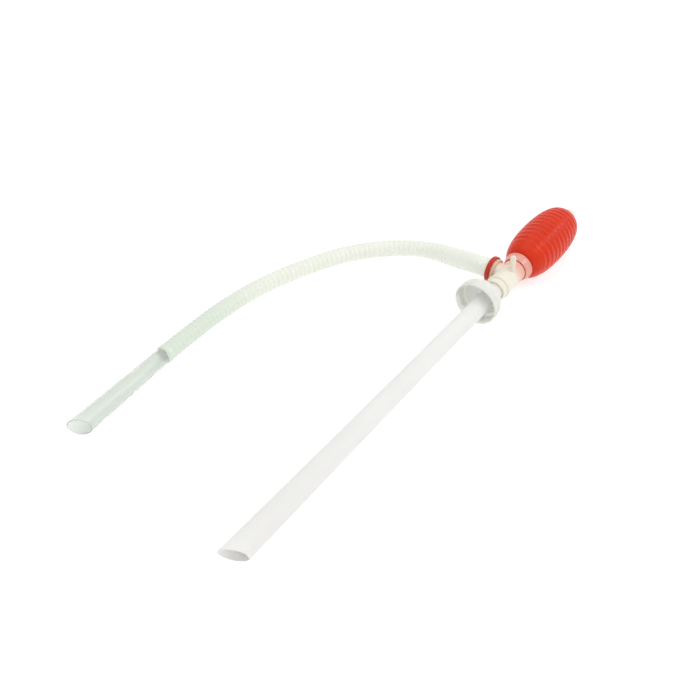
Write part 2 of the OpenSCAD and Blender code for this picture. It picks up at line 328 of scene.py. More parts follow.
def make_cloudy_tint():
    """A slow drift between two colours, as the wall's thickness and the pigment vary."""
    group, given, out = new_group(
        "cloudy_tint",
        [("Thin", COLOUR, (1, 1, 1, 1)), ("Thick", COLOUR, (0.8, 0.8, 0.8, 1)), ("Scale", FLOAT, 40.0)],
        [("Colour", COLOUR)],
    )
    place = add(group, "TexCoord")
    cloud = add(group, "TexNoise", {"Detail": 2.0, "Roughness": 0.5})
    limits = add(group, "MapRange", {"From Min": 0.3, "From Max": 0.7})
    mix = add(group, "Mix", data_type="RGBA")
    link = group.links.new
    link(place.outputs["Object"], cloud.inputs["Vector"])
    link(given.outputs["Scale"], cloud.inputs["Scale"])
    link(cloud.outputs["Fac"], limits.inputs["Value"])
    link(limits.outputs["Result"], mix.inputs[MIX_FACTOR])
    link(given.outputs["Thin"], mix.inputs[MIX_FIRST])
    link(given.outputs["Thick"], mix.inputs[MIX_SECOND])
    link(mix.outputs[MIX_RESULT], out.inputs["Colour"])
    return group


GRAIN = make_moulding_grain()
MARKS = make_handling_marks()
TINT = make_cloudy_tint()


def place_group(tree, group, values):
    """Places a shader group in a material with the material's own values."""
    node = tree.nodes.new("ShaderNodeGroup")
    node.node_tree = group
    for key, value in values.items():
        node.inputs[key].default_value = value
    return node


def moulded_material(name, thin, thick, polished, scuffed, grain=900.0, depth=0.15, waviness=0.08,
                     **sockets):
    """A moulded plastic or rubber: cloudy colour, scuffed gloss and a fine skin."""
    material = bpy.data.materials.new(name)
    material.use_nodes = True
    tree = material.node_tree
    shader = tree.nodes["Principled BSDF"]
    tint = place_group(tree, TINT, {"Thin": (*thin, 1), "Thick": (*thick, 1)})
    marks = place_group(tree, MARKS, {"Polished": polished, "Scuffed": scuffed})
    skin = place_group(tree, GRAIN, {"Scale": grain, "Depth": depth, "Waviness": waviness})
    tree.links.new(tint.outputs["Colour"], shader.inputs["Base Color"])
    tree.links.new(marks.outputs["Roughness"], shader.inputs["Roughness"])
    tree.links.new(skin.outputs["Normal"], shader.inputs["Normal"])
    for key, value in sockets.items():
        shader.inputs[key.replace("_", " ")].default_value = value
    return material


MILKY, MILKY_HEAD = (
    moulded_material(
        name, (0.9, 0.865, 0.74), (0.87, 0.83, 0.69), 0.26, 0.42, Transmission_Weight=0.12, IOR=1.4,
    )
    for name in ("milky_polythene", "milky_head")
)
MILKY_CAP = moulded_material(
    "milky_cap", (0.975, 0.98, 0.94), (0.955, 0.965, 0.915), 0.32, 0.48, depth=0.1, waviness=0.0,
    Transmission_Weight=0.45, IOR=1.12,
)
MILKY_TUBE = moulded_material(
    "milky_tube", (0.98, 0.975, 0.96), (0.965, 0.96, 0.94), 0.28, 0.42, depth=0.1, waviness=0.0,
    Transmission_Weight=0.3, IOR=1.15,
)
# Painted red glow: the housing's orange tint stands in for the red hose ring seen through its milky plastic
FROSTED_PAINTED_RED_GLOW = moulded_material(
    "frosted_polythene", (0.86, 0.62, 0.46), (0.82, 0.56, 0.4), 0.2, 0.35, depth=0.1, waviness=0.0,
    Transmission_Weight=0.25, IOR=1.3,
)
# Painted red glow: the collar's pink colour stands in for the bulb's red neck seen through its milky plastic
COLLAR_PAINTED_RED_GLOW = moulded_material(
    "collar_polythene", (0.9, 0.44, 0.36), (0.85, 0.38, 0.31), 0.22, 0.38, depth=0.1, waviness=0.0,
    Transmission_Weight=0.2, IOR=1.4,
)
HOSE_PLASTIC = moulded_material(
    "hose_plastic", (0.89, 0.91, 0.82), (0.86, 0.885, 0.785), 0.22, 0.36, depth=0.08, waviness=0.0,
    Transmission_Weight=0.1, IOR=1.4,
)
NOZZLE_PLASTIC = moulded_material(
    "nozzle_plastic", (0.93, 0.965, 0.92), (0.9, 0.945, 0.895), 0.06, 0.14, depth=0.05, waviness=0.0,
    Transmission_Weight=0.7, IOR=1.3,
)
BULB_RED = moulded_material(
    "bulb_red", (0.65, 0.033, 0.006), (0.6, 0.028, 0.005), 0.2, 0.34, depth=0.25, waviness=0.12,
    Specular_IOR_Level=0.18, IOR=1.5,
)
RING_RED = moulded_material(
    "ring_red", (0.52, 0.03, 0.012), (0.45, 0.023, 0.01), 0.16, 0.32, Specular_IOR_Level=0.3, IOR=1.5,
)
SEAL_GREY = moulded_material(
    "seal_rubber", (0.16, 0.16, 0.165), (0.12, 0.12, 0.125), 0.6, 0.8, grain=1400.0, depth=0.4,
)
LINER_FOAM = moulded_material(
    "liner_foam", (0.86, 0.86, 0.82), (0.8, 0.8, 0.76), 0.7, 0.9, grain=2200.0, depth=0.6,
)

# A painted red glow: the pink of the bulb's red neck seen through the head's wall, painted into its colour
PAINTED_RED_GLOW = (0.86, 0.47, 0.38, 1)
RED_GLOW_START, RED_GLOW_END = (TIP.dot(AXIS) + (HEAD_START + at) * MM for at in (22, 38))
DEEP_GREEN = (0.73, 0.81, 0.7, 1)
GREEN_START, GREEN_END = -0.03, 0.09
TOWARDS_NOZZLE = Vector((-1, 0, 0))


def fade_along(material, colour, axis, start, end):
    """Fades a material's colour into another one between two distances along an axis, in metres."""
    tree = material.node_tree
    shader = tree.nodes["Principled BSDF"]
    cloudy = shader.inputs["Base Color"].links[0].from_socket
    place = add(tree, "TexCoord")
    along = add(tree, "VectorMath", {1: axis}, operation="DOT_PRODUCT")
    fade = add(tree, "MapRange", {"From Min": start, "From Max": end}, interpolation_type="SMOOTHSTEP")
    mix = add(tree, "Mix", {MIX_SECOND: colour}, data_type="RGBA")
    tree.links.new(place.outputs["Object"], along.inputs[0])
    tree.links.new(along.outputs["Value"], fade.inputs["Value"])
    tree.links.new(fade.outputs["Result"], mix.inputs[MIX_FACTOR])
    tree.links.new(cloudy, mix.inputs[MIX_FIRST])
    tree.links.new(mix.outputs[MIX_RESULT], shader.inputs["Base Color"])


# Painted red glow: the head's wall turns pink near the bulb, where the bulb's red neck shows through it
fade_along(MILKY_HEAD, PAINTED_RED_GLOW, AXIS, RED_GLOW_START, RED_GLOW_END)
# The hose's colour turns greener and darker towards its nozzle
fade_along(HOSE_PLASTIC, DEEP_GREEN, TOWARDS_NOZZLE, GREEN_START, GREEN_END)

# ---- Discharge hose ----

HOSE_ROUTE = [
    (147.5, 24, 23), (149, 37, 20.5), (152, 51, 17), (155, 65, 13.5), (156, 78, 11.5), (154.5, 90, 10.5),
    (151, 101, 10), (146, 111, 9.5), (139.5, 121, 9.2), (132, 130, 9), (115, 146, 9), (96, 159.5, 9),
    (75, 170.5, 9), (52, 180, 9), (29, 188, 9), (5, 194.5, 9), (-20, 199, 9), (-45, 201.5, 9),
    (-70, 202.5, 9), (-95, 202, 9), (-119, 201.3, 9), (-131, 200.7, 9), (-137, 200.4, 9),
    (-143, 200, 9), (-166, 198.2, 9), (-188, 196.5, 9.2), (-210, 194.8, 9.4), (-230, 193.2, 9.6),
    (-256, 191.1, 9.8),
]
HOSE_STEP = 0.7
HOSE_SIDES = 48
HOSE_WALL = 0.9
CUFF_R, HOSE_R, NOZZLE_NECK_R, NOZZLE_MOUTH_R = 10.4, 8.8, 7.8, 9.7
CUFF_LEN, TAPER_END = 42, 100
RIDGE_PITCH, RIDGE_DEPTH, RIDGE_SHARPNESS, RIDGE_FADE = 5.6, 0.6, 0.8, 20
END_BAND_LEN, END_BAND_EDGE, END_BAND_RISE = 9, 1.5, 0.3
SHOULDER_LEN = 1.6
NOZZLE_LEN = 118
HOSE_BEVEL, HOSE_BEVEL_LEAN, HOSE_BEVEL_BLEND = 11, 0.2, 40
CURVE_STEPS = 40


def smooth_line(knots, step):
    """Points every step along a Catmull-Rom curve through the knots."""
    ends = [knots[0] * 2 - knots[1], *knots, knots[-1] * 2 - knots[-2]]
    fine = []
    for a, b, c, d in zip(ends, ends[1:], ends[2:], ends[3:]):
        for k in range(CURVE_STEPS):
            t = k / CURVE_STEPS
            fine.append(0.5 * (2 * b + (c - a) * t + (2 * a - 5 * b + 4 * c - d) * t * t
                               + (3 * b - a - 3 * c + d) * t ** 3))
    fine.append(knots[-1])
    line, carried = [fine[0]], 0.0
    for a, b in zip(fine, fine[1:]):
        length = (b - a).length
        while carried + length >= step:
            share = (step - carried) / length
            a = a.lerp(b, share)
            length = (b - a).length
            carried = 0.0
            line.append(a.copy())
        carried += length
    if (line[-1] - fine[-1]).length > step / 3:
        line.append(fine[-1])
    return line


def ease(t):
    """Runs smoothly from 0 to 1 as t does, and stays level outside that."""
    t = min(1, max(0, t))
    return t * t * (3 - 2 * t)


def hose_radius(s, total):
    """The hose's outer radius at a distance s from its cuff end."""
    nozzle = total - NOZZLE_LEN
    if s > nozzle:
        return NOZZLE_NECK_R + (NOZZLE_MOUTH_R - NOZZLE_NECK_R) * (s - nozzle) / NOZZLE_LEN
    body = CUFF_R + (HOSE_R - CUFF_R) * ease((s - CUFF_LEN) / (TAPER_END - CUFF_LEN))
    end_band = ease((s - nozzle + END_BAND_LEN) / END_BAND_EDGE)
    strength = ease((s - CUFF_LEN) / RIDGE_FADE) * (1 - end_band)
    ridge = 0.5 + 0.5 * math.cos(TURN * s / RIDGE_PITCH)
    body -= RIDGE_DEPTH * strength * (1 - ridge ** RIDGE_SHARPNESS)
    drop = ease((s - nozzle + SHOULDER_LEN) / SHOULDER_LEN)
    return (body + END_BAND_RISE * end_band) * (1 - drop) + NOZZLE_NECK_R * drop


def sweep_frames(line):
    """Tangent, side and up vectors along a line that never turns straight up."""
    frames = []
    for i in range(len(line)):
        tangent = (line[min(i + 1, len(line) - 1)] - line[max(i - 1, 0)]).normalized()
        across = tangent.cross(Vector((0, 0, 1))).normalized()
        frames.append((tangent, across, across.cross(tangent)))
    return frames


def make_hose():
    """One tube swept along the route: cuff, corrugated middle and slant-cut nozzle, with its inside."""
    exit_point = BRANCH_ORIGIN / MM + SIDE * RING_END
    line = smooth_line([exit_point, *map(Vector, HOSE_ROUTE)], HOSE_STEP)
    frames = sweep_frames(line)
    total = (len(line) - 1) * HOSE_STEP
    points, rings = [], []

    def ring(i, radius):
        tangent, across, up = frames[i]
        slant = max(0.0, 1 - (total - i * HOSE_STEP) / HOSE_BEVEL_BLEND)
        rings.append(len(points))
        for k in range(HOSE_SIDES):
            turn = TURN * k / HOSE_SIDES
            out = across * math.cos(turn) + up * math.sin(turn)
            cut = 0.0
            if slant:
                lean = out.dot((-across - up * HOSE_BEVEL_LEAN).normalized())
                cut = HOSE_BEVEL * (0.5 + 0.5 * lean) * slant
            points.append(line[i] + out * radius - tangent * cut)

    last = len(line) - 1
    for i in range(len(line)):
        ring(i, hose_radius(i * HOSE_STEP, total))
    ring(last, hose_radius(total, total) - HOSE_WALL / 2)
    for i in range(last, -1, -1):
        ring(i, hose_radius(i * HOSE_STEP, total) - HOSE_WALL)
    faces = []
    for a, b in zip(rings, rings[1:] + rings[:1]):
        for k in range(HOSE_SIDES):
            beside = (k + 1) % HOSE_SIDES
            faces.append((a + k, a + beside, b + beside, b + k))
    hose = new_piece("discharge_hose_detail", points, faces, Matrix.Scale(MM, 4))
    fit(hose, "pump", "hose_clear", HOSE_PLASTIC, "discharge_hose")
    hose.data.materials.append(NOZZLE_PLASTIC)
    nozzle_x = line[int((total - NOZZLE_LEN) / HOSE_STEP)].x * MM
    for face in hose.data.polygons:
        if face.center.x < nozzle_x:
            face.material_index = 1


make_hose()

# ---- Suction tube ----

TUBE_R, FLARE_R, FLARE_LEN, FLARE_CURVE, TUBE_WALL = 9.25, 11.2, 340.0, 1.5, 1.2
TUBE_RINGS, TUBE_LIP = 70, 0.3
BEVEL_TURN, BEVEL_BLEND = math.radians(30), 45


def make_suction_tube():
    """A thin tube that widens slowly towards its mouth, the mouth cut at a slant."""
    def outer(z):
        return TUBE_R + (FLARE_R - TUBE_R) * max(0.0, 1 - z / FLARE_LEN) ** FLARE_CURVE

    heights = [TUBE_END * k / TUBE_RINGS for k in range(TUBE_RINGS + 1)]
    outside = [(outer(z), z) for z in heights]
    inside = [(outer(z) - TUBE_WALL, z) for z in reversed(heights)]
    lip = [(inside[-1][0] + TUBE_WALL / 2, -TUBE_LIP)]

    def bevel(x, y, z):
        lean = x * math.cos(BEVEL_TURN) + y * math.sin(BEVEL_TURN)
        cut = BEVEL_LEN * (FLARE_R - lean) / (2 * FLARE_R)
        return x, y, z + cut * max(0.0, 1 - z / BEVEL_BLEND)

    tube = lathe("suction_tube_detail", outside + inside + lip, PUMP, warp=bevel)
    fit(tube, "pump", "frosted_tube", MILKY_TUBE, "suction_tube")


make_suction_tube()

# ---- Container cap ----

CAP_R, CAP_DEPTH, CAP_WALL, CAP_TOP, CAP_HOLE_R = 23.0, 17.0, 1.8, 2.0, 14.0
CAP_SHOULDER, CAP_TOP_R, CAP_INNER_TOP_R = 9.0, 19.5, 18.6
CAP_FLUTES, CAP_FLUTE_DEPTH, CAP_FLUTE_START = 56, 0.15, 1.6
THREAD_ROOT, THREAD_FADE = 0.4, 8
GASKET_GAP, GASKET_TUBE_GAP, GASKET_THICK, GASKET_WEB = 0.3, 0.75, 1.5, 1.3
GASKET_BEAD, GASKET_BEAD_FOOT = 0.9, 1.1


def helix_ridge(radius, start, pitch, turns, height, width, steps=64):
    """Points and faces of a thread ridge that stands inwards from a wall."""
    count = int(turns * steps)
    points = []
    for k in range(count + 1):
        turn = TURN * k / steps
        z = start + pitch * turn / TURN
        fade = min(1.0, k / THREAD_FADE, (count - k) / THREAD_FADE)
        root, crest = radius + THREAD_ROOT, radius - height * fade
        for r, dz in ((root, -width / 2), (crest, -width / 5), (crest, width / 5), (root, width / 2)):
            points.append((r * math.cos(turn), r * math.sin(turn), z + dz))
    faces = [(0, 1, 2, 3), (count * 4 + 3, count * 4 + 2, count * 4 + 1, count * 4)]
    for k in range(count):
        for i in range(4):
            j = (i + 1) % 4
            faces.append((k * 4 + i, k * 4 + j, k * 4 + 4 + j, k * 4 + 4 + i))
    return points, faces


def joined(*parts):
    """The points and faces of several parts as one list each."""
    points, faces = [], []
    for more_points, more_faces in parts:
        first = len(points)
        points += more_points
        faces += [tuple(i + first for i in face) for face in more_faces]
    return points, faces


def make_container_cap():
    """A fluted cup with an off-centre hole in its top and a thread inside its skirt."""
    inner = CAP_R - CAP_WALL
    outline = rounded([
        (inner, 0, 0.5), (CAP_R, 0, 0.7), (CAP_R, CAP_SHOULDER, 3.0), (CAP_TOP_R, CAP_DEPTH, 1.6),
        (CAP_HOLE_R, CAP_DEPTH, 0.4), (CAP_HOLE_R, CAP_DEPTH - CAP_TOP, 0.4),
        (CAP_INNER_TOP_R, CAP_DEPTH - CAP_TOP, 0.5), (inner, CAP_SHOULDER, 1.5),
    ])
    flutes = fluted(CAP_FLUTES, CAP_FLUTE_DEPTH, CAP_FLUTE_START, CAP_SHOULDER, inner + CAP_WALL / 2)
    skirt = lathe_parts(outline, 4 * CAP_FLUTES, flutes)
    thread = helix_ridge(inner, start=3.0, pitch=4.0, turns=2.2, height=1.0, width=2.0)
    cap = new_piece("container_cap_detail", *joined(skirt, thread), CAP)
    soften_normals(cap)
    fit(cap, "container_cap", "natural_plastic", MILKY_CAP, "container_cap")


def make_cap_gasket():
    """A soft disc: its rim fills the cap, and its hole stays around the tube."""
    top = CAP_DEPTH - CAP_TOP
    low, web = top - GASKET_THICK, top - GASKET_WEB
    outer, inner = CAP_INNER_TOP_R - GASKET_GAP, TUBE_R + GASKET_TUBE_GAP
    outline = rounded([
        (inner, top, 0.2), (outer, top, 0.2), (outer, low, 0.4), (outer - GASKET_BEAD, low, 0.2),
        (outer - GASKET_BEAD_FOOT, web, 0.1), (inner + GASKET_BEAD_FOOT, web, 0.1),
        (inner + GASKET_BEAD, low, 0.2), (inner, low, 0.4),
    ])
    to_tube = (TIP - CAP_ORIGIN) / MM
    shift = Vector((to_tube.dot(SIDE), to_tube.dot(UP)))

    def around_tube(x, y, z):
        share = (outer - math.hypot(x, y)) / (outer - inner)
        return x + shift.x * share, y + shift.y * share, z

    gasket = lathe("cap_gasket_detail", outline, CAP, warp=around_tube)
    fit(gasket, "cap_slider", "liner", LINER_FOAM, "cap_gasket")


make_container_cap()
make_cap_gasket()

# ---- Pump head ----

SOCKET_R, FLANGE_R, BARREL_R, STUB_R, STUB_END = 11.4, 12.9, 12.0, 10.0, 17.0
SPIGOT_R, SPIGOT_BORE_R, THROAT_R, CHAMBER_R, STUB_BORE_R = 10.4, 8.4, 7.0, 9.0, 7.8
FLANGE_AT, FLANGE_W = HEAD_START + 7, 2.7
PEG_TOP, PEG_R, PEG_SIDE, PEG_AT = 28.5, 3.0, -4.0, HEAD_START + 27.5
PEG_FOOT_R, PEG_FOOT_TOP, PEG_DOME_STEPS, PEG_SINK = PEG_R + 0.5, BARREL_R + 1.6, 10, 2
SOCKET_FLOOR, THROAT_END, CHAMBER_END, BARREL_END = (HEAD_START + at for at in (14.5, 17.5, 39, 42))
BLANK_SIDES, BLANK_OVERSHOOT = 72, 2
PUSH_FIT = 0.05
HEAD_VOXEL = 0.45
FILLET_FACTOR, FILLET_ROUNDS = 0.5, 6


def combine(target, others, operation):
    """Adds a boolean modifier to a piece for each of the other pieces."""
    for other in others:
        modifier = target.modifiers.new("combine", "BOOLEAN")
        modifier.operation = operation
        modifier.solver = "EXACT"
        modifier.object = other


def applied(piece):
    """Gives a piece its modified mesh and drops its modifiers."""
    graph = bpy.context.evaluated_depsgraph_get()
    mesh = bpy.data.meshes.new_from_object(piece.evaluated_get(graph))
    piece.modifiers.clear()
    piece.data = mesh
    return piece


def plain_lathe(name, corners, place):
    """A turned blank with rounded corners."""
    return new_piece(name, *lathe_parts(rounded(corners), BLANK_SIDES), place)


def make_peg_blank():
    """The upright peg: a round pin with a domed top, a little wider at its foot."""
    low, high = CHAMBER_R - PEG_SINK, PEG_TOP - PEG_R
    outline = [(0, low), (PEG_FOOT_R, low), (PEG_FOOT_R, BARREL_R), (PEG_R, PEG_FOOT_TOP)]
    for k in range(PEG_DOME_STEPS + 1):
        turn = math.pi / 2 * k / PEG_DOME_STEPS
        outline.append((PEG_R * math.cos(turn), high + PEG_R * math.sin(turn)))
    origin = TIP + (AXIS * PEG_AT + SIDE * PEG_SIDE) * MM
    return new_piece("peg_blank", *lathe_parts(outline, 48), make_frame(origin, AXIS, SIDE, UP))


def make_pump_head():
    """The T-shaped moulding: barrel, branch and peg in one skin, bored out for tube and valves."""
    head = plain_lathe("pump_head_detail", [
        (0, HEAD_START, 0), (SOCKET_R, HEAD_START, 0.8), (SOCKET_R, FLANGE_AT), (FLANGE_R, FLANGE_AT, 0.5),
        (FLANGE_R, FLANGE_AT + FLANGE_W, 0.5), (BARREL_R, FLANGE_AT + FLANGE_W),
        (BARREL_R, BARREL_END, 0.2), (SPIGOT_R, BARREL_END), (SPIGOT_R, HEAD_END, 0.8), (0, HEAD_END, 0),
    ], PUMP)
    stub = plain_lathe("stub_blank", [
        (0, 0, 0), (STUB_R, 0, 0), (STUB_R, STUB_END, 0.6), (0, STUB_END, 0),
    ], BRANCH)
    peg = make_peg_blank()
    bore_start, bore_end = HEAD_START - BLANK_OVERSHOOT, HEAD_END + BLANK_OVERSHOOT
    socket_bore_r = TUBE_R + PUSH_FIT
    bore = plain_lathe("bore_blank", [
        (0, bore_start, 0), (socket_bore_r, bore_start, 0), (socket_bore_r, SOCKET_FLOOR, 0.1),
        (THROAT_R, SOCKET_FLOOR, 0.1), (THROAT_R, THROAT_END, 0.1),
        (CHAMBER_R, THROAT_END, 0.1), (CHAMBER_R, CHAMBER_END, 0.5),
        (SPIGOT_BORE_R, CHAMBER_END, 0.5), (SPIGOT_BORE_R, bore_end, 0), (0, bore_end, 0),
    ], PUMP)
    stub_bore_end = STUB_END + BLANK_OVERSHOOT
    stub_bore = plain_lathe("stub_bore_blank", [
        (0, 0, 0), (STUB_BORE_R, 0, 0), (STUB_BORE_R, stub_bore_end, 0), (0, stub_bore_end, 0),
    ], BRANCH)
    combine(head, [stub, peg], "UNION")
    combine(head, [bore, stub_bore], "DIFFERENCE")
    remesh = head.modifiers.new("skin", "REMESH")
    remesh.mode = "VOXEL"
    remesh.voxel_size = HEAD_VOXEL * MM
    remesh.use_smooth_shade = True
    smooth = head.modifiers.new("fillets", "SMOOTH")
    smooth.factor, smooth.iterations = FILLET_FACTOR, FILLET_ROUNDS
    applied(head)
    for blank in (stub, peg, bore, stub_bore):
        bpy.data.objects.remove(blank)
    fit(head, "pump", "natural_plastic", MILKY_HEAD, "pump_head")


make_pump_head()

# ---- Outlet ----

HOUSING_R, HOUSING_START, HOUSING_FLOOR = 12.2, 13.2, 18.6
NIPPLE_R, NIPPLE_BORE_R, NIPPLE_END = 6.6, 5.2, 44.0
BARBS, BARB_START, BARB_PITCH, BARB_LEN, BARB_RISE = 3, 4, 6.5, 5, 0.6
RING_R, RING_LEAN, RING_SHOULDER = 14.0, 0.5, 1.2
RING_GROOVE_DEPTH, RING_GROOVE_HALF = 0.25, 0.5
SEAL_SIDES = 16


def make_outlet_housing():
    """A cup on the branch's end, with a barbed nipple for the hose."""
    barbs = []
    for k in range(BARBS):
        low = RING_END + BARB_START + BARB_PITCH * k
        barbs += [(NIPPLE_R, low, 0.1), (NIPPLE_R + BARB_RISE, low, 0.15), (NIPPLE_R, low + BARB_LEN, 0.3)]
    outline = rounded([
        (STUB_R + PUSH_FIT, HOUSING_START, 0.3), (HOUSING_R, HOUSING_START, 0.6),
        (HOUSING_R, RING_END, 0.4), (NIPPLE_R, RING_END, 0.8), *barbs, (NIPPLE_R, NIPPLE_END, 0.5),
        (NIPPLE_BORE_R, NIPPLE_END, 0.4), (NIPPLE_BORE_R, HOUSING_FLOOR, 0.4),
        (STUB_R + PUSH_FIT, HOUSING_FLOOR, 0.3),
    ])
    housing = lathe("outlet_housing_detail", outline, BRANCH)
    fit(housing, "pump", "clear_collar", FROSTED_PAINTED_RED_GLOW, "outlet_housing")


def make_hose_ring():
    """A ring with a fine groove around its middle."""
    middle = (RING_START + RING_END) / 2
    inner, side = HOUSING_R + PUSH_FIT, RING_R - RING_LEAN
    outline = rounded([
        (inner, RING_START, 0.3), (side, RING_START, 0.6), (RING_R, RING_START + RING_SHOULDER, 0.5),
        (RING_R, middle - RING_GROOVE_HALF, 0.2), (RING_R - RING_GROOVE_DEPTH, middle, 0.2),
        (RING_R, middle + RING_GROOVE_HALF, 0.2), (RING_R, RING_END - RING_SHOULDER, 0.5),
        (side, RING_END, 0.6), (inner, RING_END, 0.3),
    ])
    ring = lathe("hose_ring_detail", outline, BRANCH)
    fit(ring, "pump", "ring_red", RING_RED, "hose_ring")


def make_outlet_seal():
    """A round-section ring between the branch's end and the housing's floor."""
    radius, thick = (STUB_R + STUB_BORE_R) / 2, (HOUSING_FLOOR - STUB_END) / 2
    middle = (HOUSING_FLOOR + STUB_END) / 2
    outline = []
    for k in range(SEAL_SIDES):
        turn = TURN * k / SEAL_SIDES
        outline.append((radius + thick * math.cos(turn), middle + thick * math.sin(turn)))
    seal = lathe("outlet_seal_detail", outline, BRANCH)
    fit(seal, "pump", "seal", SEAL_GREY, "outlet_seal")


make_outlet_housing()
make_hose_ring()
make_outlet_seal()

# ---- Check valves ----

# Heights above a seat's underside, and widths of its lip beyond the bore
SEAT_TOP, SEAT_LIP_TOP, DISC_START = 2.0, 2.2, 2.3
SEAT_LIP_FOOT, SEAT_LIP_W = 1.4, 1.0
DISC_THICK, DISC_BOSS_TOP, DISC_BOSS_FOOT_R, DISC_BOSS_R = 0.9, 1.2, 2.0, 1.6
INLET_BORE_R, INLET_DISC_R, OUTLET_BORE_R, OUTLET_DISC_R = 4.6, 6.6, 4.2, 5.8


def make_valve(prefix, place, start, seat_r, bore_r, disc_r, disc_body):
    """A seat with a raised lip and a thin disc with a centre boss; the cage keeps its CAD shape."""
    top, lip_top = start + SEAT_TOP, start + SEAT_LIP_TOP
    seat_outline = rounded([
        (bore_r, start, 0.4), (seat_r, start, 0.2), (seat_r, top, 0.2), (bore_r + SEAT_LIP_FOOT, top, 0.2),
        (bore_r + SEAT_LIP_W, lip_top, 0.1), (bore_r, lip_top, 0.15),
    ])
    seat = lathe(prefix + "_seat_detail", seat_outline, place)
    fit(seat, "pump", "natural_plastic", MILKY, prefix + "_seat")
    low = start + DISC_START
    high, boss_top = low + DISC_THICK, low + DISC_BOSS_TOP
    disc_outline = rounded([
        (0, low, 0), (disc_r, low, 0.3), (disc_r, high, 0.3), (DISC_BOSS_FOOT_R, high, 0.2),
        (DISC_BOSS_R, boss_top, 0.2), (0, boss_top, 0),
    ])
    disc = lathe(prefix + "_disc_detail", disc_outline, place)
    fit(disc, disc_body, "seal", SEAL_GREY, prefix + "_disc")
    cage = frame["nodes"][prefix + "_cage"]
    cage.data.materials.clear()
    cage.data.materials.append(MILKY)


INLET_START = reach("inlet_seat", TIP, AXIS)[0]
OUTLET_START = reach("outlet_seat", BRANCH_ORIGIN, SIDE)[0]
make_valve("inlet", PUMP, INLET_START, CHAMBER_R - PUSH_FIT, INLET_BORE_R, INLET_DISC_R, "inlet_disc")
make_valve(
    "outlet", BRANCH, OUTLET_START, STUB_BORE_R - PUSH_FIT, OUTLET_BORE_R, OUTLET_DISC_R, "outlet_disc",
)


def make_tube_seal():
    """A washer as wide as the tube's wall."""
    low, high = reach("tube_seal", TIP, AXIS)
    bore_r = TUBE_R - TUBE_WALL
    outline = rounded([(bore_r, low, 0.3), (TUBE_R, low, 0.3), (TUBE_R, high, 0.3), (bore_r, high, 0.3)])
    fit(lathe("tube_seal_detail", outline, PUMP), "pump", "seal", SEAL_GREY, "tube_seal")


make_tube_seal()

# ---- Squeeze bulb ----

BULB_R, BULB_WALL, NECK_R = 25.5, 1.8, 12.2
BULB_START = HEAD_START + 51.5
BULB_WIDEST = HEAD_START + 100
BULB_TAPER, BULB_ROUND_NEAR, BULB_ROUND_FAR = 0.0021, 5, 5
BULB_MIDDLE, BULB_HALF = (BULB_START + BULB_END) / 2, (BULB_END - BULB_START) / 2
BULB_STEPS, BULB_INSIDE_EVERY, BULB_SIDES = 260, 4, 144
RIBS, RIB_DEPTH, VALLEY_SHARPNESS = 11, 0.75, 3.2
END_RIB_SHARE, END_RIB_FADE = 0.35, 0.6
RIBS_FROM, RIBS_TO = HEAD_START + 62, HEAD_START + 142
VENT_HOLE_R = 4.05
COLLAR_R, RIM_R, RIM_LEAN, RIM_FOOT, RIM_LEN, COLLAR_SIDES = 13.2, 15.4, 0.5, 2.0, 1.8, 128


def bulb_radius(z):
    """The bulb's outer radius: a barrel with well rounded ends and soft ribs with narrow valleys."""
    barrel = BULB_R - BULB_TAPER * (z - BULB_WIDEST) ** 2
    power = BULB_ROUND_NEAR if z < BULB_MIDDLE else BULB_ROUND_FAR
    ends = max(0.0, 1 - (abs(z - BULB_MIDDLE) / BULB_HALF) ** power) ** (1 / power)
    if not RIBS_FROM < z < RIBS_TO:
        return barrel * ends
    phase = RIBS * (z - RIBS_FROM) / (RIBS_TO - RIBS_FROM)
    valley = abs(math.cos(math.pi * phase)) ** VALLEY_SHARPNESS
    edge = ease(phase / END_RIB_FADE) * ease((RIBS - phase) / END_RIB_FADE)
    return barrel * ends - RIB_DEPTH * valley * (END_RIB_SHARE + (1 - END_RIB_SHARE) * edge)


def make_squeeze_bulb():
    """The hollow bulb with its neck and its vent hole."""
    steps = range(1, BULB_STEPS)
    heights = [BULB_MIDDLE - BULB_HALF * math.cos(math.pi * k / BULB_STEPS) for k in steps]
    outside = [(bulb_radius(z), z) for z in heights]
    outside = [(r, z) for r, z in outside if r > NECK_R + 0.2 or z > BULB_MIDDLE]
    outside = [(r, z) for r, z in outside if r > VENT_HOLE_R + 0.4]
    low, high = BULB_START + BULB_WALL, BULB_END - BULB_WALL
    inside = [(r - BULB_WALL, min(max(z, low), high)) for r, z in outside[::BULB_INSIDE_EVERY]]
    inside = [(r, z) for r, z in inside if r > SPIGOT_R + 0.1 or z > BULB_MIDDLE]
    neck = rounded([
        (SPIGOT_R + PUSH_FIT, low, 0.2), (SPIGOT_R + PUSH_FIT, BULB_NECK, 0.4),
        (NECK_R, BULB_NECK, 0.4), (NECK_R, BULB_START, 0.8),
    ])[2:]
    outline = [*outside, (VENT_HOLE_R, BULB_END), (VENT_HOLE_R, high), *reversed(inside), *neck]
    bulb = lathe("squeeze_bulb_detail", outline, PUMP, BULB_SIDES)
    fit(bulb, "pump", "bulb_red", BULB_RED, "squeeze_bulb")
    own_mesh(bulb)


def make_bulb_collar():
    """A translucent cup around the neck, its mouth a thin bead that meets the bulb."""
    inner = NECK_R + PUSH_FIT
    outline = rounded([
        (inner, BULB_NECK, 0.3), (COLLAR_R, BULB_NECK, 0.3),
        (RIM_R - RIM_LEAN, COLLAR_END - RIM_FOOT, 0.3), (RIM_R, COLLAR_END - RIM_LEN, 0.4),
        (RIM_R, COLLAR_END, 0.7), (inner, COLLAR_END, 0.3),
    ])
    collar = lathe("bulb_collar_detail", outline, PUMP, COLLAR_SIDES)
    fit(collar, "pump", "clear_collar", COLLAR_PAINTED_RED_GLOW, "bulb_collar")


make_squeeze_bulb()
make_bulb_collar()

# ---- Vent ----

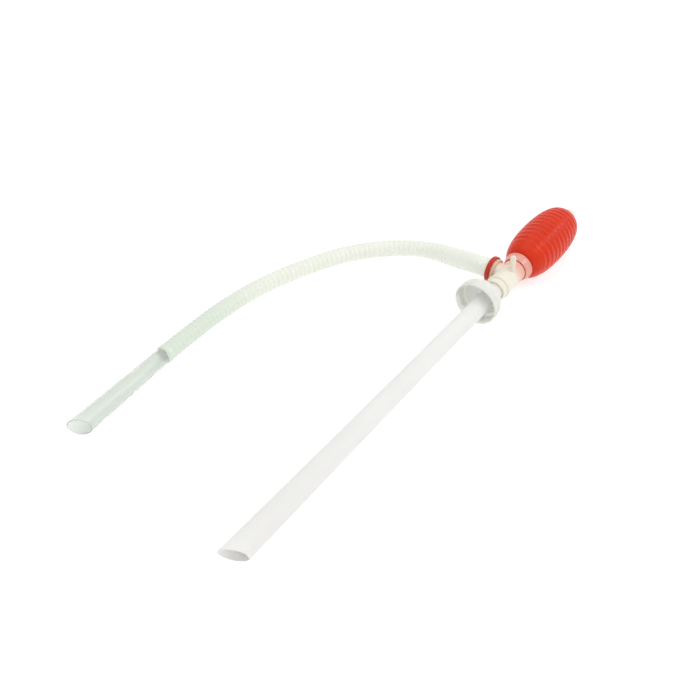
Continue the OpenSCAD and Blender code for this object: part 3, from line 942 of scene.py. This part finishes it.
VENT_NOZZLE_R, VENT_BORE_R, VENT_R, VENT_FLANGE_R = 3.6, 1.6, 6.3, 7.2
VENT_SHANK_R, VENT_BARB_R = 3.95, 5.5
VENT_FOOT, VENT_BARB_START, VENT_BARB_END = BULB_END - 6, BULB_END - 4.6, BULB_END - 3.0
VENT_FLANGE_START, VENT_FLANGE_END = BULB_END + 0.05, BULB_END + 1.65
WASHER_START, WASHER_END = VENT_TOP + 0.05, VENT_TOP + 1.05
DIMPLE_R, DIMPLE_FLOOR_R, DIMPLE_DEPTH, VENT_CAP_FLOOR = 2.0, 1.4, 0.3, 2.4
KNURLS, KNURL_DEPTH, KNURL_CORE, KNURL_START, KNURL_END = 24, 0.35, 5.0, 0.8, 1.6
VENT_SIDES, VENT_CAP_SIDES = 64, 160


def make_vent_seat():
    """A nozzle with a flange outside the bulb's end wall and a barb inside it."""
    outline = rounded([
        (VENT_BORE_R, VENT_FOOT, 0.3), (VENT_SHANK_R, VENT_FOOT, 0.5), (VENT_SHANK_R, VENT_BARB_START, 0.2),
        (VENT_BARB_R, VENT_BARB_START, 0.4), (VENT_BARB_R, VENT_BARB_END, 0.4),
        (VENT_SHANK_R, VENT_BARB_END, 0.2), (VENT_SHANK_R, VENT_FLANGE_START, 0.1),
        (VENT_FLANGE_R, VENT_FLANGE_START, 0.3), (VENT_FLANGE_R, VENT_FLANGE_END, 0.7),
        (VENT_NOZZLE_R, VENT_FLANGE_END, 0.5), (VENT_NOZZLE_R, VENT_TOP, 0.4), (VENT_BORE_R, VENT_TOP, 0.4),
    ])
    seat = lathe("vent_seat_detail", outline, PUMP, VENT_SIDES)
    fit(seat, "vent_fitting", "natural_plastic", MILKY, "vent_seat")


def make_vent_washer():
    """A soft disc between the nozzle's end and the cap's floor."""
    outline = rounded([
        (0, WASHER_START, 0), (VENT_NOZZLE_R, WASHER_START, 0.3), (VENT_NOZZLE_R, WASHER_END, 0.3),
        (0, WASHER_END, 0),
    ])
    washer = lathe("vent_washer_detail", outline, PUMP, VENT_SIDES)
    fit(washer, "vent_washer", "seal", SEAL_GREY, "vent_washer")


def make_vent_cap():
    """A small knurled cap with a dimple in its end."""
    low, high = VENT_CAP_START, VENT_CAP_END
    inner, dimple, floor = VENT_NOZZLE_R + PUSH_FIT, high - DIMPLE_DEPTH, high - VENT_CAP_FLOOR
    outline = rounded([
        (inner, low, 0.2), (VENT_R, low, 0.5), (VENT_R, high, 1.6), (DIMPLE_R, high, 0.3),
        (DIMPLE_FLOOR_R, dimple, 0.3), (0, dimple, 0), (0, floor, 0), (inner, floor, 0.2),
    ])
    knurl = fluted(KNURLS, KNURL_DEPTH, low + KNURL_START, high - KNURL_END, KNURL_CORE)
    cap = lathe("vent_cap_detail", outline, PUMP, VENT_CAP_SIDES, knurl)
    fit(cap, "vent_cap", "natural_plastic", MILKY, "vent_cap")


make_vent_seat()
make_vent_washer()
make_vent_cap()

# ---- Floor and light ----

WHITE = (1, 1, 1, 1)
FLOOR_SIZE, FLOOR_GREY, FLOOR_ROUGHNESS, FLOOR_GLOW = 8, (0.4, 0.4, 0.4, 1), 0.9, 0.72
SKY_STRENGTH = 0.86


def add_floor():
    """A white table that glows a little, so that the pump casts only faint shadows."""
    bpy.ops.mesh.primitive_plane_add(size=FLOOR_SIZE, location=(0, 0, cad_low.z))
    floor = bpy.context.object
    floor.name = "floor"
    material = bpy.data.materials.new("floor_white")
    material.use_nodes = True
    shader = material.node_tree.nodes["Principled BSDF"]
    shader.inputs["Base Color"].default_value = FLOOR_GREY
    shader.inputs["Roughness"].default_value = FLOOR_ROUGHNESS
    shader.inputs["Emission Color"].default_value = WHITE
    shader.inputs["Emission Strength"].default_value = FLOOR_GLOW
    floor.data.materials.append(material)


def add_softbox(name, where, target, size, power):
    """A rectangular area light at one place that faces another."""
    data = bpy.data.lights.new(name, "AREA")
    data.shape = "RECTANGLE"
    data.size, data.size_y = size
    data.energy = power
    light = bpy.data.objects.new(name, data)
    bpy.context.scene.collection.objects.link(light)
    light.location = where
    light.rotation_euler = (Vector(target) - Vector(where)).to_track_quat("-Z", "Y").to_euler()


def add_world():
    """An even white surround."""
    world = bpy.data.worlds.new("studio")
    bpy.context.scene.world = world
    world.use_nodes = True
    background = world.node_tree.nodes["Background"]
    background.inputs["Color"].default_value = WHITE
    background.inputs["Strength"].default_value = SKY_STRENGTH


add_floor()
add_softbox("softbox_top", (0.15, 0.45, 1.5), target=(0, 0.05, 0), size=(1.4, 1.0), power=4)
add_softbox("softbox_side", (0.9, -1.0, 1.0), target=(0.05, 0.05, 0), size=(1.0, 0.8), power=1.5)
add_softbox("softbox_key", (0.6, -0.75, 1.1), target=(0.05, 0.05, 0), size=(0.5, 0.25), power=3)
add_world()
bpy.context.scene.view_settings.view_transform = "Standard"
